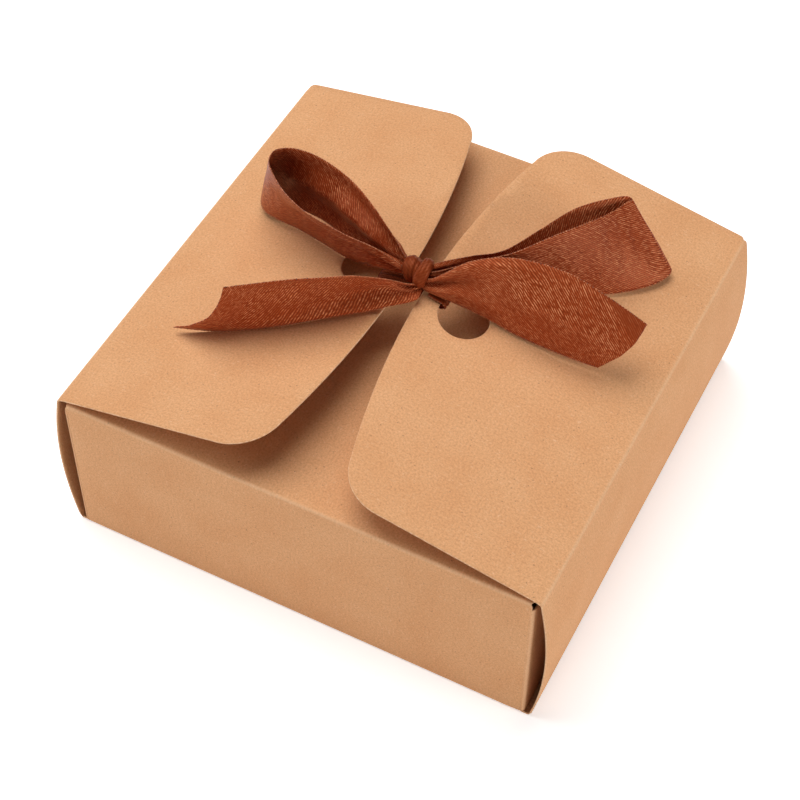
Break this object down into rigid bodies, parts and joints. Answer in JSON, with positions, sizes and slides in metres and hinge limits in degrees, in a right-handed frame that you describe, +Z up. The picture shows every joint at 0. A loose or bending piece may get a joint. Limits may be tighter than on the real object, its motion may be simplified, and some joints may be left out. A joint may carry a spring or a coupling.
{
  "type": "gift box",
  "caption": "Square folded kraft card gift box with hinged side walls, two wing flaps with finger holes tied by a satin ribbon bow, and dust tabs inside the open sides",
  "frame": {"origin": "middle of the underside, on the surface the box stands on", "axes": "+X right along the front wall, +Y into the depth from the front wall to the back wall, +Z up; the front wall faces -Y and the wings hinge along the two edges that run in Y"},
  "size_m": [0.1564, 0.15, 0.0878],
  "materials": {
    "kraft_wing": "uncoated kraft card, lit from above",
    "kraft_side": "uncoated kraft card",
    "kraft_wall": "uncoated kraft card",
    "kraft_shaded": "uncoated kraft card",
    "kraft_inside": "uncoated kraft card, inner face",
    "satin_ribbon": "woven polyester satin with a selvedge",
    "satin_ribbon_shaded": "woven polyester satin with a selvedge"
  },
  "bodies": {
    "sleeve": {"base_panel": "kraft_shaded", "top_panel": "kraft_shaded", "front_wall": "kraft_wall", "back_wall": "kraft_wall", "glue_flap": "kraft_inside"},
    "left_wall": {"left_wall": "kraft_wall"},
    "right_wall": {"right_wall": "kraft_side"},
    "left_wing": {"left_wing": "kraft_wing"},
    "right_wing": {"right_wing": "kraft_wing"},
    "front_left_dust_tab": {"front_left_dust_tab": "kraft_inside"},
    "front_right_dust_tab": {"front_right_dust_tab": "kraft_inside"},
    "back_left_dust_tab": {"back_left_dust_tab": "kraft_inside"},
    "back_right_dust_tab": {"back_right_dust_tab": "kraft_inside"},
    "bow": {"ribbon_knot": "satin_ribbon", "ribbon_band": "satin_ribbon_shaded", "left_loop": "satin_ribbon", "right_loop": "satin_ribbon", "left_tail": "satin_ribbon", "right_tail": "satin_ribbon"}
  },
  "joints": [
    {"name": "left_wall_hinge", "type": "hinge", "parent": "sleeve", "child": "left_wall", "pos_m": [-0.075, 0, 0.00025], "axis": [0, -1, 0], "range_deg": [0, 75]},
    {"name": "right_wall_hinge", "type": "hinge", "parent": "sleeve", "child": "right_wall", "pos_m": [0.075, 0, 0.00025], "axis": [0, 1, 0], "range_deg": [0, 75]},
    {"name": "left_wing_hinge", "type": "hinge", "parent": "left_wall", "child": "left_wing", "pos_m": [-0.075, 0, 0.0561], "axis": [0, -1, 0], "range_deg": [0, 100], "deforming": ["left_loop", "left_tail", "ribbon_knot"]},
    {"name": "right_wing_hinge", "type": "hinge", "parent": "right_wall", "child": "right_wing", "pos_m": [0.075, 0, 0.0561], "axis": [0, 1, 0], "range_deg": [0, 100], "deforming": ["right_loop", "right_tail", "ribbon_band"]},
    {"name": "front_left_tab_hinge", "type": "hinge", "parent": "sleeve", "child": "front_left_dust_tab", "pos_m": [-0.07315, -0.07395, 0.0278], "axis": [0, 0, -1], "range_deg": [0, 85]},
    {"name": "front_right_tab_hinge", "type": "hinge", "parent": "sleeve", "child": "front_right_dust_tab", "pos_m": [0.07315, -0.07395, 0.0278], "axis": [0, 0, 1], "range_deg": [0, 85]},
    {"name": "back_left_tab_hinge", "type": "hinge", "parent": "sleeve", "child": "back_left_dust_tab", "pos_m": [-0.07315, 0.07395, 0.0278], "axis": [0, 0, 1], "range_deg": [0, 85]},
    {"name": "back_right_tab_hinge", "type": "hinge", "parent": "sleeve", "child": "back_right_dust_tab", "pos_m": [0.07315, 0.07395, 0.0278], "axis": [0, 0, -1], "range_deg": [0, 85]},
    {"name": "bow_lift", "type": "slide", "parent": "sleeve", "child": "bow", "axis": [0, 0, 1], "range_m": [0, 0.095]}
  ]
}
